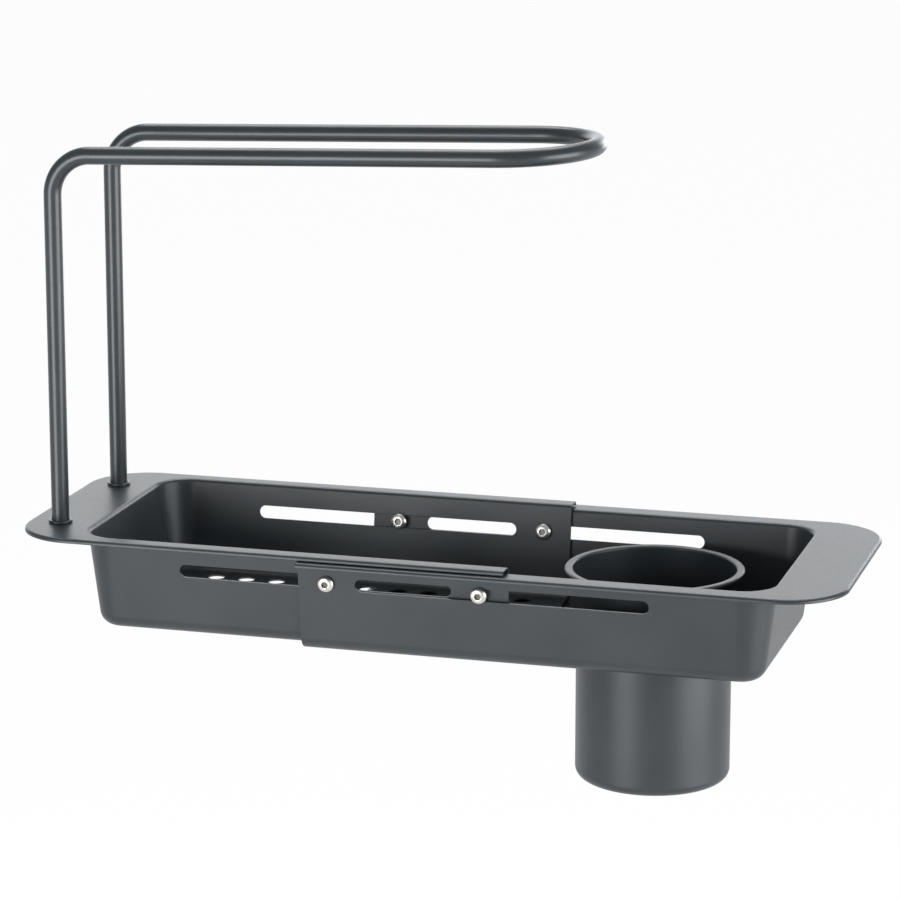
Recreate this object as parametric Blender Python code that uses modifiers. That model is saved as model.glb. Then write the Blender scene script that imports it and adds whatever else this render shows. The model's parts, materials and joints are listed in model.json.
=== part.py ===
"""Expandable sink rack: two nested sheet trays on barrel guides, a towel bar and a lift-out cup.

Metres, +Z up, +X along the rack towards the half that pulls out. The origin lies on the sink rim's
plane, midway between the towel bar's feet.
"""

import math
from dataclasses import dataclass

import bmesh
import bpy
from mathutils import Matrix, Vector

# Gaps between pieces that touch, and the reach of a cutter past what it cuts
SEAT_GAP = 0.0003
CUT_OVERRUN = 0.0030
MERGE = 0.00001

# Sheet of both tray halves
SHEET = 0.0010
DRAFT_DEG = 7.0
RIM_BEND = 0.0020
LIP_BEND = 0.0014
LIP_DEPTH = 0.0020
FLOOR_BEND = 0.0070
OPENING_CORNER = 0.0170
FLANGE_CORNER = 0.0285

# Left half, which carries the towel bar and nests inside the other
LEFT_FLANGE = 0.0308
LEFT_LENGTH = 0.2009
LEFT_OPENING_HALF = 0.0585
LEFT_RIM_HALF = 0.0655
LEFT_DEPTH = 0.0439
LEFT_SLOT = 0.1261

# Right half, which slides outside the left one
RIGHT_FLANGE = 0.0296
RIGHT_LENGTH = 0.2137
RIGHT_RIM_MARGIN = 0.0035
RIGHT_RIM_SETBACK = 0.0018
RIGHT_SLOT = 0.1328
OVERLAP = 0.0960
WALL_CLEARANCE = 0.0008
FLOOR_CLEARANCE = 0.0012
LIP_CLEARANCE = 0.0004

# Slots in the side walls and the barrels that run in them
SLOT_HEIGHT = 0.0060
SLOT_FROM_END = 0.0262
GUIDE_FROM_END = 0.0130
GUIDE_DEPTH = 0.0132
SLEEVE_RADIUS = 0.0025
SLEEVE_CLEARANCE = 0.0003
SLEEVE_PROUD = 0.0003
GUIDE_HEAD_RADIUS = 0.00385
GUIDE_HEAD_HEIGHT = 0.0020
GUIDE_SHANK_RADIUS = 0.0015
GUIDE_SHANK_LENGTH = 0.0030
GUIDE_SOCKET_RADIUS = 0.0014
GUIDE_SOCKET_DEPTH = 0.0010

# Drain holes in rows along both floors
DRAIN_RADIUS = 0.0040
DRAIN_PITCH = 0.0150
DRAIN_ROW = 0.0410
DRAIN_MARGIN = 0.0060
LEFT_DRAIN_START = 0.0195
RIGHT_DRAIN_START = 0.0100

# Towel bar, one bent tube on two feet
BAR_RADIUS = 0.0040
BAR_WALL = 0.0008
BAR_FROM_EDGE = 0.0152
BAR_HALF_SPACING = 0.0370
BAR_HEIGHT = 0.1685
BAR_REACH = 0.2402
BAR_BEND = 0.0185
BAR_RAKE_DEG = 2.0

# Collar, insert, washer and screw of each foot
COLLAR_RADIUS = 0.00545
COLLAR_HEIGHT = 0.0011
COLLAR_EDGE = 0.0004
INSERT_LENGTH = 0.0090
FOOT_SHANK_RADIUS = 0.0015
FOOT_SHANK_LENGTH = 0.0100
FOOT_HOLE_CLEARANCE = 0.0005
FOOT_HEAD_RADIUS = 0.00285
FOOT_HEAD_HEIGHT = 0.0017
FOOT_SOCKET_RADIUS = 0.0011
FOOT_SOCKET_DEPTH = 0.0009
WASHER_RADIUS = 0.0040
WASHER_HEIGHT = 0.0006

# Lift-out cup, whose shoulder stands on the floor round its hole
CUP_SHEET = 0.0008
CUP_FROM_OPENING = 0.0652
CUP_RIM_RADIUS = 0.0404
CUP_UPPER_RADIUS = 0.0373
CUP_LOWER_RADIUS = 0.0349
CUP_HOLE_CLEARANCE = 0.0005
CUP_RIM_DROP = 0.0110
CUP_HEIGHT = 0.0969
CUP_LIP = 0.0015
CUP_LIP_BEND = 0.0011
CUP_BEND = 0.0012
CUP_BASE_BEND = 0.0045

# Rest pads under the two end flanges
REST_PAD = 0.0015
PAD_INSET = 0.0055
PAD_HALF_WIDTH = 0.0280
PAD_CORNER = 0.0020

# Steps of the round forms
CORNER_STEPS = 8
BEND_STEPS = 4
FLOOR_BEND_STEPS = 5
ROUND_STEPS = 16
HEAD_STEPS = 3
DRAIN_STEPS = 12
CUP_STEPS = 36
BAR_BEND_STEPS = 8
BAR_END_STEPS = 16
BAR_RESOLUTION = 6
BORE_RESOLUTION = 4
HEX_STEPS = 6

# Sizes and places that follow from the ones above
DRAFT = math.radians(DRAFT_DEG)
STEP_DOWN = LIP_DEPTH + LIP_CLEARANCE
RIGHT_RIM_Z = REST_PAD + SEAT_GAP + SHEET
LEFT_RIM_Z = RIGHT_RIM_Z + STEP_DOWN
BEND_REACH = RIM_BEND * math.tan((math.pi / 2 - DRAFT) / 2)
STACK = SHEET + WALL_CLEARANCE + SHEET
LEFT_OPENING_X = LEFT_FLANGE - BAR_FROM_EDGE
LEFT_OPEN_X = LEFT_OPENING_X + LEFT_LENGTH
RIGHT_X = LEFT_OPEN_X - OVERLAP
CUP_X = RIGHT_LENGTH - CUP_FROM_OPENING
NEST_OFFSET = (SHEET + WALL_CLEARANCE) / math.cos(DRAFT) - STEP_DOWN * math.tan(DRAFT)


@dataclass
class Outline:
    """A tray's outline in plan, open at one end and round at the two corners of the other."""

    half_width: float
    closed_x: float
    open_x: float
    corner: float


@dataclass
class Half:
    """One tray half in its own frame, where z is zero at its rim's top."""

    name: str
    side: int
    opening: Outline
    flange: Outline
    depth: float
    rim_z: float
    slot: float
    drain_start: float
    rim_setback: float


def tray_half(
    name, side, opening_x, open_x, opening_half, flange, rim_half, depth, rim_z, slot, drain, setback,
):
    """A half whose closed end lies towards side: minus one for -X, one for +X."""
    wall_x = opening_x - side * BEND_REACH
    opening = Outline(opening_half - BEND_REACH, wall_x, open_x, OPENING_CORNER - BEND_REACH)
    edge = Outline(rim_half, opening_x + side * flange, open_x, FLANGE_CORNER)
    return Half(name, side, opening, edge, depth, rim_z, slot, drain, setback)


LEFT = tray_half(
    "left_tray", -1, LEFT_OPENING_X, LEFT_OPEN_X, LEFT_OPENING_HALF, LEFT_FLANGE, LEFT_RIM_HALF,
    LEFT_DEPTH, LEFT_RIM_Z, LEFT_SLOT, LEFT_DRAIN_START, 0.0,
)
RIGHT = tray_half(
    "right_tray", 1, RIGHT_LENGTH, 0.0, LEFT_OPENING_HALF + NEST_OFFSET, RIGHT_FLANGE,
    LEFT_RIM_HALF + RIGHT_RIM_MARGIN, LEFT_DEPTH + FLOOR_CLEARANCE + SHEET - STEP_DOWN,
    RIGHT_RIM_Z, RIGHT_SLOT, RIGHT_DRAIN_START, RIGHT_RIM_SETBACK,
)


def clear_scene():
    """Remove what the scene holds."""
    for item in list(bpy.data.objects):
        bpy.data.objects.remove(item)


def new_collection(name):
    """A new collection in the scene."""
    collection = bpy.data.collections.new(name)
    bpy.context.scene.collection.children.link(collection)
    return collection


def new_empty(name, place, parent=None):
    """An empty that a group of pieces hangs on."""
    empty = bpy.data.objects.new(name, None)
    empty.location = place
    empty.parent = parent
    PIECES.objects.link(empty)
    return empty


def new_object(name, mesh, collection):
    """An object of the mesh, shaded smooth but for its sharp edges."""
    mesh.shade_smooth()
    mesh.set_sharp_from_angle(angle=math.radians(40))
    item = bpy.data.objects.new(name, mesh)
    collection.objects.link(item)
    return item


def shape_object(name, shape, collection):
    """An object of a bmesh, which is freed."""
    mesh = bpy.data.meshes.new(name)
    shape.to_mesh(mesh)
    shape.free()
    return new_object(name, mesh, collection)


def cutter_object(name, shape):
    """A cutter of a bmesh, shown as wire and left out of renders."""
    cutter = shape_object(name, shape, CUTTERS)
    cutter.hide_render = True
    cutter.display_type = "WIRE"
    return cutter


def cut(item, cutter):
    """Take the cutter's shape out of the object."""
    boolean = item.modifiers.new(cutter.name, "BOOLEAN")
    boolean.operation = "DIFFERENCE"
    boolean.solver = "EXACT"
    boolean.object = cutter


def thicken(item, thickness):
    """Give an open surface the sheet's thickness behind its face."""
    solidify = item.modifiers.new("sheet", "SOLIDIFY")
    solidify.thickness = thickness
    solidify.offset = -1.0
    solidify.use_even_offset = True
    solidify.use_quality_normals = True


def paint(item, colour, roughness, metallic):
    """Give the object a material of its own."""
    material = bpy.data.materials.new(item.name)
    material.use_nodes = True
    shader = material.node_tree.nodes["Principled BSDF"]
    shader.inputs["Base Color"].default_value = (*colour, 1.0)
    shader.inputs["Roughness"].default_value = roughness
    shader.inputs["Metallic"].default_value = metallic
    item.data.materials.append(material)


def paint_coat(item):
    """Satin anthracite powder coat."""
    paint(item, (0.050, 0.056, 0.064), 0.45, 0.0)


def paint_steel(item):
    """Bright stainless steel."""
    paint(item, (0.62, 0.62, 0.63), 0.25, 1.0)


def baked_mesh(item):
    """The object's evaluated mesh; the object is removed."""
    bpy.context.view_layer.update()
    evaluated = item.evaluated_get(bpy.context.evaluated_depsgraph_get())
    mesh = bpy.data.meshes.new_from_object(evaluated)
    mesh.name = item.name
    bpy.data.objects.remove(item)
    return mesh


def fillet(before, corner, after, radius, steps):
    """Points of the arc that rounds a corner between two straight runs."""
    corner = Vector(corner)
    back = (Vector(before) - corner).normalized()
    ahead = (Vector(after) - corner).normalized()
    half_angle = back.angle(ahead) / 2
    centre = corner + (back + ahead).normalized() * (radius / math.sin(half_angle))
    first = corner + back * (radius / math.tan(half_angle)) - centre
    last = corner + ahead * (radius / math.tan(half_angle)) - centre
    sweep = first.angle(last)
    points = []
    for step in range(steps + 1):
        turned = sweep * step / steps
        arm = (first * math.sin(sweep - turned) + last * math.sin(turned)) / math.sin(sweep)
        points.append(centre + arm)
    return points


def plan_ring(outline, side, offset, setback):
    """Points along the outline, moved out by offset, from one open end round to the other."""
    half_width = outline.half_width + offset
    corner = outline.corner + offset
    closed_x = outline.closed_x + side * offset
    open_x = outline.open_x + side * setback
    centre_x = closed_x - side * corner
    points = [(open_x, side * half_width)]
    for turn in (0, 1):
        centre_y = side * (half_width - corner) * (1 - 2 * turn)
        for step in range(CORNER_STEPS + 1):
            angle = (turn + step / CORNER_STEPS) * math.pi / 2
            x = centre_x + side * corner * math.sin(angle)
            y = centre_y + side * corner * math.cos(angle)
            points.append((x, y))
    points.append((open_x, -side * half_width))
    return points


def tray_rings(half):
    """Rings of the tray's show face, from the lip's lower edge over the rim and down to the floor."""
    floor = half.depth - SHEET
    run = floor * math.tan(DRAFT)
    lip = [Vector((0.0, -LIP_DEPTH))]
    lip += fillet((0.0, -LIP_DEPTH), (0.0, 0.0), (-RIM_BEND, 0.0), LIP_BEND, BEND_STEPS)
    rim = fillet((RIM_BEND, 0.0), (0.0, 0.0), (-run, -floor), RIM_BEND, BEND_STEPS)
    base = fillet((0.0, 0.0), (-run, -floor), (-run - floor, -floor), FLOOR_BEND - SHEET, FLOOR_BEND_STEPS)
    rings = []
    for offset, z in lip:
        ring = plan_ring(half.flange, half.side, offset, half.rim_setback)
        rings.append([(x, y, z) for x, y in ring])
    for index, (offset, z) in enumerate(rim + base):
        setback = half.rim_setback * max(0.0, 1 - index / BEND_STEPS)
        ring = plan_ring(half.opening, half.side, offset, setback)
        rings.append([(x, y, z) for x, y in ring])
    return rings


def tray_surface(half):
    """The tray's show face, lofted from ring to ring, with its floor."""
    shape = bmesh.new()
    rings = []
    for ring in tray_rings(half):
        rings.append([shape.verts.new(point) for point in ring])
    for outer, inner in zip(rings, rings[1:]):
        for here in range(len(outer) - 1):
            there = here + 1
            shape.faces.new((outer[here], inner[here], inner[there], outer[there]))
    shape.faces.new(reversed(rings[-1]))
    return shape


def guide_frame(x, side, rim_z):
    """Frame of a guide: origin on the left half's show face, z out through both walls."""
    wall_y = LEFT.opening.half_width - GUIDE_DEPTH * math.tan(DRAFT)
    place = Matrix.Translation((x, side * wall_y, LEFT_RIM_Z - GUIDE_DEPTH - rim_z))
    return place @ Matrix.Rotation(-side * (math.pi / 2 + DRAFT), 4, "X")


def add_cylinder(shape, radius, low, high, steps, frame=None, stretch=0.0):
    """Add a cylinder along the frame's z, its flats on the radius, drawn out along x by stretch."""
    if frame is None:
        frame = Matrix.Identity(4)
    half_step = math.pi / steps
    made = bmesh.ops.create_cone(
        shape, cap_ends=True, segments=steps, depth=high - low,
        radius1=radius / math.cos(half_step), radius2=radius / math.cos(half_step),
        matrix=Matrix.Rotation(half_step, 4, "Z"),
    )
    for vert in made["verts"]:
        vert.co.x += math.copysign(stretch / 2, vert.co.x)
        vert.co.z += (high + low) / 2
        vert.co = frame @ vert.co


def from_open_end(half, distance):
    """The x that lies a distance in from the half's open end."""
    return half.opening.open_x + half.side * distance


def add_wall_cuts(shape, half):
    """Add the slots and the guide holes of both side walls."""
    slot_x = from_open_end(half, SLOT_FROM_END + half.slot / 2)
    guide_x = from_open_end(half, GUIDE_FROM_END)
    low = -CUT_OVERRUN
    high = STACK + CUT_OVERRUN
    for side in (-1, 1):
        slot_frame = guide_frame(slot_x, side, half.rim_z)
        hole_frame = guide_frame(guide_x, side, half.rim_z)
        run = half.slot - SLOT_HEIGHT
        add_cylinder(shape, SLOT_HEIGHT / 2, low, high, ROUND_STEPS, slot_frame, run)
        add_cylinder(shape, SLEEVE_RADIUS + SLEEVE_CLEARANCE, low, high, ROUND_STEPS, hole_frame)


def add_floor_hole(shape, half, x, y, radius, steps):
    """Add one hole through the floor."""
    low = -half.depth - CUT_OVERRUN
    high = -half.depth + SHEET + CUT_OVERRUN
    add_cylinder(shape, radius, low, high, steps, Matrix.Translation((x, y, 0.0)))


def floor_length(half):
    """Length of the flat floor, from its open end to where the closed end's bend begins."""
    wall = abs(half.opening.closed_x - half.opening.open_x)
    run = (half.depth - SHEET) * math.tan(DRAFT)
    bend = (FLOOR_BEND - SHEET) * math.tan((math.pi / 2 - DRAFT) / 2)
    return wall - run - bend


def add_drains(shape, half, room):
    """Add three rows of drain holes along the room, the middle one half a pitch along."""
    first = half.drain_start
    last = room - DRAIN_MARGIN - DRAIN_RADIUS
    columns = int((last - first) / DRAIN_PITCH) + 1
    for column in range(columns):
        x = from_open_end(half, first + column * DRAIN_PITCH)
        for row in (-1, 1):
            add_floor_hole(shape, half, x, row * DRAIN_ROW, DRAIN_RADIUS, DRAIN_STEPS)
        if column < columns - 1:
            between = x + half.side * DRAIN_PITCH / 2
            add_floor_hole(shape, half, between, 0.0, DRAIN_RADIUS, DRAIN_STEPS)


def make_tray(half, parent, place, cutter_shape):
    """A pressed tray half: lofted face, sheet thickness and its cut-outs."""
    tray = shape_object(half.name, tray_surface(half), PIECES)
    tray.parent = parent
    tray.location = place
    thicken(tray, SHEET)
    cutter = cutter_object(half.name + "_cutter", cutter_shape)
    cutter.parent = parent
    cutter.location = place
    cut(tray, cutter)
    paint_coat(tray)


def make_left_tray(parent):
    """The left half, with the two holes for the towel bar's screws."""
    shape = bmesh.new()
    add_wall_cuts(shape, LEFT)
    add_drains(shape, LEFT, floor_length(LEFT))
    for side in (-1, 1):
        foot = Matrix.Translation((0.0, side * BAR_HALF_SPACING, 0.0))
        radius = FOOT_SHANK_RADIUS + FOOT_HOLE_CLEARANCE
        add_cylinder(shape, radius, -SHEET - CUT_OVERRUN, CUT_OVERRUN, ROUND_STEPS, foot)
    make_tray(LEFT, parent, (0.0, 0.0, LEFT_RIM_Z), shape)


def make_right_tray(parent):
    """The right half, with the hole that the cup stands in."""
    shape = bmesh.new()
    add_wall_cuts(shape, RIGHT)
    hole_radius = CUP_LOWER_RADIUS + CUP_HOLE_CLEARANCE
    add_drains(shape, RIGHT, CUP_X - hole_radius)
    add_floor_hole(shape, RIGHT, CUP_X, 0.0, hole_radius, CUP_STEPS)
    make_tray(RIGHT, parent, (0.0, 0.0, RIGHT_RIM_Z), shape)


def bar_path(foot_z):
    """Centre line of the towel bar from foot to foot, in its own frame."""
    rake = math.radians(BAR_RAKE_DEG)
    end_z = BAR_HEIGHT + BAR_REACH * math.tan(rake)
    bend = fillet((0.0, foot_z), (0.0, BAR_HEIGHT), (BAR_REACH, end_z), BAR_BEND, BAR_BEND_STEPS)
    rise = [Vector((0.0, foot_z))] + bend
    centre_x = BAR_REACH - BAR_HALF_SPACING * math.cos(rake)
    centre = Vector((centre_x, 0.0, BAR_HEIGHT + centre_x * math.tan(rake)))
    ahead = Vector((math.cos(rake), 0.0, math.sin(rake)))
    across = Vector((0.0, 1.0, 0.0))
    path = [Vector((x, -BAR_HALF_SPACING, z)) for x, z in rise]
    for step in range(BAR_END_STEPS + 1):
        angle = (step / BAR_END_STEPS - 1 / 2) * math.pi
        spoke = ahead * math.cos(angle) + across * math.sin(angle)
        path.append(centre + spoke * BAR_HALF_SPACING)
    path += [Vector((x, BAR_HALF_SPACING, z)) for x, z in reversed(rise)]
    return path


def swept_shape(path, radius, resolution):
    """A round bar along the path, as a bmesh with welded caps."""
    curve = bpy.data.curves.new("sweep", "CURVE")
    curve.dimensions = "3D"
    curve.bevel_depth = radius
    curve.bevel_resolution = resolution
    curve.use_fill_caps = True
    spline = curve.splines.new("POLY")
    spline.points.add(len(path) - 1)
    for point, place in zip(spline.points, path):
        point.co = (*place, 1.0)
    sweep = bpy.data.objects.new("sweep", curve)
    PIECES.objects.link(sweep)
    mesh = baked_mesh(sweep)
    bpy.data.curves.remove(curve)
    shape = bmesh.new()
    shape.from_mesh(mesh)
    bpy.data.meshes.remove(mesh)
    bmesh.ops.remove_doubles(shape, verts=shape.verts, dist=MERGE)
    return shape


def make_towel_bar(parent):
    """The bent tube, open at both feet."""
    place = (0.0, 0.0, LEFT_RIM_Z)
    bar = shape_object("towel_bar", swept_shape(bar_path(SEAT_GAP), BAR_RADIUS, BAR_RESOLUTION), PIECES)
    bore_path = bar_path(SEAT_GAP - CUT_OVERRUN)
    bore_shape = swept_shape(bore_path, BAR_RADIUS - BAR_WALL, BORE_RESOLUTION)
    bore = cutter_object("towel_bar_bore", bore_shape)
    for item in (bar, bore):
        item.parent = parent
        item.location = place
    cut(bar, bore)
    paint_coat(bar)


def turned_object(name, profile, steps, closed, collection):
    """An object turned about z from a profile that runs down its outer side."""
    mesh = bpy.data.meshes.new(name)
    points = [(radius, 0.0, z) for radius, z in profile]
    edges = [(here, here + 1) for here in range(len(points) - 1)]
    if closed:
        edges.append((len(points) - 1, 0))
    mesh.from_pydata(points, edges, [])
    item = new_object(name, mesh, collection)
    screw = item.modifiers.new("turn", "SCREW")
    screw.steps = steps
    screw.render_steps = steps
    screw.use_merge_vertices = True
    screw.merge_threshold = MERGE
    return item


def head_profile(radius, height):
    """A button head's section from its flat top to its bearing face, which lies at zero."""
    flat = radius / 2
    edge = height / 4
    points = [(0.0, height)]
    for step in range(HEAD_STEPS + 1):
        angle = step / HEAD_STEPS * math.pi / 2
        r = flat + (radius - flat) * math.sin(angle)
        z = edge + (height - edge) * math.cos(angle)
        points.append((r, z))
    points.append((radius, 0.0))
    return points


def socket_mesh(name, profile, head_height, socket_radius, socket_depth):
    """A turned fastener's mesh with a hexagon socket in its head."""
    item = turned_object(name, profile, ROUND_STEPS, False, PIECES)
    shape = bmesh.new()
    low = head_height - socket_depth
    add_cylinder(shape, socket_radius, low, head_height + CUT_OVERRUN, HEX_STEPS)
    socket = cutter_object(name + "_socket", shape)
    cut(item, socket)
    mesh = baked_mesh(item)
    bpy.data.objects.remove(socket)
    return mesh


def place_copies(mesh, places, parent, painter):
    """Objects that share one mesh, each under its own name and in its own frame."""
    first = None
    for name, frame in places:
        item = new_object(name, mesh, PIECES)
        item.parent = parent
        item.matrix_local = frame
        if first is None:
            first = item
            painter(item)


def barrel_mesh():
    """A guide barrel: button head, plain sleeve and a blind bore from the sleeve's end."""
    sleeve = STACK + SEAT_GAP + SLEEVE_PROUD
    bore = GUIDE_SHANK_RADIUS + SEAT_GAP
    profile = head_profile(GUIDE_HEAD_RADIUS, GUIDE_HEAD_HEIGHT)
    profile += [(SLEEVE_RADIUS, 0.0), (SLEEVE_RADIUS, -sleeve), (bore, -sleeve)]
    profile += [(bore, -SEAT_GAP), (0.0, -SEAT_GAP)]
    return socket_mesh(
        "guide_barrel", profile, GUIDE_HEAD_HEIGHT, GUIDE_SOCKET_RADIUS, GUIDE_SOCKET_DEPTH
    )


def screw_mesh(name, head_radius, head_height, shank_radius, shank_length, socket_radius, socket_depth):
    """A button-head screw, bearing face at zero and shank below it."""
    profile = head_profile(head_radius, head_height)
    profile += [(shank_radius, 0.0), (shank_radius, -shank_length), (0.0, -shank_length)]
    return socket_mesh(name, profile, head_height, socket_radius, socket_depth)


def make_guides(half, label, parent, barrel, screw):
    """The half's two guides, one in each side wall."""
    x = from_open_end(half, GUIDE_FROM_END)
    over = Matrix.Rotation(math.pi, 4, "X")
    barrels = []
    screws = []
    for side, end in ((-1, "front"), (1, "back")):
        frame = guide_frame(x, side, 0.0)
        outer = frame @ Matrix.Translation((0.0, 0.0, STACK + SEAT_GAP))
        inner = frame @ Matrix.Translation((0.0, 0.0, -SLEEVE_PROUD - SEAT_GAP)) @ over
        barrels.append((label + "_guide_barrel_" + end, outer))
        screws.append((label + "_guide_screw_" + end, inner))
    place_copies(barrel.copy(), barrels, parent, paint_steel)
    place_copies(screw.copy(), screws, parent, paint_steel)


def foot_places(name, z, turned):
    """Names and frames of the two pieces of one kind at the bar's feet."""
    places = []
    for side, end in ((-1, "front"), (1, "back")):
        frame = Matrix.Translation((0.0, side * BAR_HALF_SPACING, z))
        if turned:
            frame = frame @ Matrix.Rotation(math.pi, 4, "X")
        places.append((name + "_" + end, frame))
    return places


def ring_mesh(name, profile):
    """The mesh of a turned ring, whose section is closed."""
    return baked_mesh(turned_object(name, profile, ROUND_STEPS, True, PIECES))


def make_feet(parent):
    """Collar, insert, washer and screw of both feet."""
    inner = BAR_RADIUS + SEAT_GAP
    collar = ring_mesh("bar_collar", [
        (inner, COLLAR_HEIGHT),
        (COLLAR_RADIUS - COLLAR_EDGE, COLLAR_HEIGHT),
        (COLLAR_RADIUS, COLLAR_HEIGHT - COLLAR_EDGE),
        (COLLAR_RADIUS, 0.0),
        (inner, 0.0),
    ])
    place_copies(collar, foot_places("bar_collar", LEFT_RIM_Z + SEAT_GAP, False), parent, paint_coat)

    outer = BAR_RADIUS - BAR_WALL - SEAT_GAP
    bore = FOOT_SHANK_RADIUS + SEAT_GAP
    insert = ring_mesh("bar_insert", [
        (bore, INSERT_LENGTH),
        (outer, INSERT_LENGTH),
        (outer, 0.0),
        (bore, 0.0),
    ])
    place_copies(insert, foot_places("bar_insert", LEFT_RIM_Z + SEAT_GAP, False), parent, paint_steel)

    washer_z = LEFT_RIM_Z - SHEET - SEAT_GAP
    washer = ring_mesh("bar_washer", [
        (bore, WASHER_HEIGHT),
        (WASHER_RADIUS, WASHER_HEIGHT),
        (WASHER_RADIUS, 0.0),
        (bore, 0.0),
    ])
    place_copies(washer, foot_places("bar_washer", washer_z, True), parent, paint_steel)

    screw = screw_mesh(
        "bar_screw", FOOT_HEAD_RADIUS, FOOT_HEAD_HEIGHT, FOOT_SHANK_RADIUS, FOOT_SHANK_LENGTH,
        FOOT_SOCKET_RADIUS, FOOT_SOCKET_DEPTH,
    )
    screw_z = washer_z - WASHER_HEIGHT - SEAT_GAP
    place_copies(screw, foot_places("bar_screw", screw_z, True), parent, paint_steel)


def cup_profile():
    """The cup's inner face from its floor's middle up to the lip's lower edge; zero is the rim's top."""
    floor = CUP_SHEET - CUP_HEIGHT
    shoulder = CUP_RIM_DROP - LEFT_DEPTH - FLOOR_CLEARANCE + SEAT_GAP + CUP_SHEET
    lower = CUP_LOWER_RADIUS - CUP_SHEET
    upper = CUP_UPPER_RADIUS - CUP_SHEET
    corners = [
        ((0.0, floor), 0.0),
        ((lower, floor), CUP_BASE_BEND - CUP_SHEET),
        ((lower, shoulder), CUP_BEND),
        ((upper, shoulder), CUP_BEND - CUP_SHEET),
        ((upper, 0.0), CUP_BEND),
        ((CUP_RIM_RADIUS, 0.0), CUP_LIP_BEND),
        ((CUP_RIM_RADIUS, -CUP_LIP), 0.0),
    ]
    profile = [corners[0][0]]
    for (before, _), (corner, radius), (after, _) in zip(corners, corners[1:], corners[2:]):
        profile += fillet(before, corner, after, radius, BEND_STEPS - 1)
    profile.append(corners[-1][0])
    return profile


def make_cup(parent):
    """The turned cup, whose sheet lies outside its inner face."""
    cup = turned_object("cup", cup_profile(), CUP_STEPS, False, PIECES)
    cup.parent = parent
    thicken(cup, CUP_SHEET)
    paint_coat(cup)


def make_pad(name, half, thickness, parent):
    """A rest pad under the half's end flange, its underside on the sink rim's plane."""
    wall_x = half.opening.closed_x + half.side * BEND_REACH
    middle = (half.flange.closed_x + wall_x) / 2
    length = abs(half.flange.closed_x - wall_x) - PAD_INSET * 2
    size = Matrix.Diagonal((length, PAD_HALF_WIDTH * 2, thickness, 1.0))
    shape = bmesh.new()
    bmesh.ops.create_cube(shape, size=1.0, matrix=size)
    upright = []
    for edge in shape.edges:
        rise = edge.verts[0].co - edge.verts[1].co
        if abs(rise.z) > thickness / 2:
            upright.append(edge)
    bmesh.ops.bevel(
        shape, geom=upright, offset=PAD_CORNER, segments=BEND_STEPS, profile=1 / 2, affect="EDGES"
    )
    pad = shape_object(name, shape, PIECES)
    pad.parent = parent
    pad.location = (middle, 0.0, thickness / 2)
    paint(pad, (0.02, 0.02, 0.02), 0.8, 0.0)


clear_scene()
PIECES = new_collection("expandable_sink_rack")
CUTTERS = new_collection("cutters")

left_half = new_empty("left_half", (0.0, 0.0, 0.0))
right_half = new_empty("right_half", (RIGHT_X, 0.0, 0.0))
cup_axis = new_empty("cup_axis", (CUP_X, 0.0, LEFT_RIM_Z - CUP_RIM_DROP), right_half)

make_left_tray(left_half)
make_right_tray(right_half)
make_towel_bar(left_half)
make_feet(left_half)

guide_barrel = barrel_mesh()
guide_screw = screw_mesh(
    "guide_screw", GUIDE_HEAD_RADIUS, GUIDE_HEAD_HEIGHT, GUIDE_SHANK_RADIUS, GUIDE_SHANK_LENGTH,
    GUIDE_SOCKET_RADIUS, GUIDE_SOCKET_DEPTH,
)
make_guides(LEFT, "left", left_half, guide_barrel, guide_screw)
make_guides(RIGHT, "right", right_half, guide_barrel, guide_screw)

make_cup(cup_axis)
make_pad("left_rest_pad", LEFT, LEFT_RIM_Z - SHEET - SEAT_GAP, left_half)
make_pad("right_rest_pad", RIGHT, REST_PAD, right_half)
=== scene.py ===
import json
import math

import bmesh
import bpy
from mathutils import Matrix, Vector

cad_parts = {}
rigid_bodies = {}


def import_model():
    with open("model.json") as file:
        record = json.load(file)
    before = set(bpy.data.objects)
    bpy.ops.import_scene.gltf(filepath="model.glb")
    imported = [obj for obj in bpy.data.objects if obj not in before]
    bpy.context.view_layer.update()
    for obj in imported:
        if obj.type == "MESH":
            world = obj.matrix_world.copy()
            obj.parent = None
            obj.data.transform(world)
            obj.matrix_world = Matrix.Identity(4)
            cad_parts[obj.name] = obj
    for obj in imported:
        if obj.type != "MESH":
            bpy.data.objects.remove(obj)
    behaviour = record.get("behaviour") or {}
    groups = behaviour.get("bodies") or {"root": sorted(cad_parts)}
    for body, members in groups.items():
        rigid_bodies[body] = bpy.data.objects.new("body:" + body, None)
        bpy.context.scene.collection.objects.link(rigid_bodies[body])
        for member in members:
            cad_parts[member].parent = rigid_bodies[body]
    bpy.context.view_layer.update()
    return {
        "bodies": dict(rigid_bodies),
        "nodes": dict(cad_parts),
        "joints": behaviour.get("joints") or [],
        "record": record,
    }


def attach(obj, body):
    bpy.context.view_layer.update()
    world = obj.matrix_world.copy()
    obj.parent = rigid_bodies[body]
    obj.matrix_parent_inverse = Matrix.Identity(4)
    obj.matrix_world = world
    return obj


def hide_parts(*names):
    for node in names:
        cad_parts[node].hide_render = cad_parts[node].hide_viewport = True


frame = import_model()

# Studio. A pale floor that runs on past the picture's edges and a soft sky, with soft boxes in front
# on the left, on the right, low and high behind, behind for the right edge, and far overhead. The
# camera is where the photograph was taken from, with a long lens and nothing shifted.
CAMERA_PLACE = (0.61424, -1.54608, 0.42374)
CAMERA_TILT = math.radians(76.632)
CAMERA_TURN = math.radians(15.896)
SENSOR_WIDTH = 36.0
LENS = 146.763

FLOOR_HEIGHT = -0.75
FLOOR_REACH = 60.0
FLOOR_COLOUR = (0.93, 0.93, 0.93, 1.0)
FLOOR_GLOW = (1.0, 1.0, 1.0, 1.0)
FLOOR_GLOW_SHARE = 0.96
SKY_COLOUR = (0.97, 0.985, 1.0, 1.0)
SKY_STRENGTH = 0.40

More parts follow.
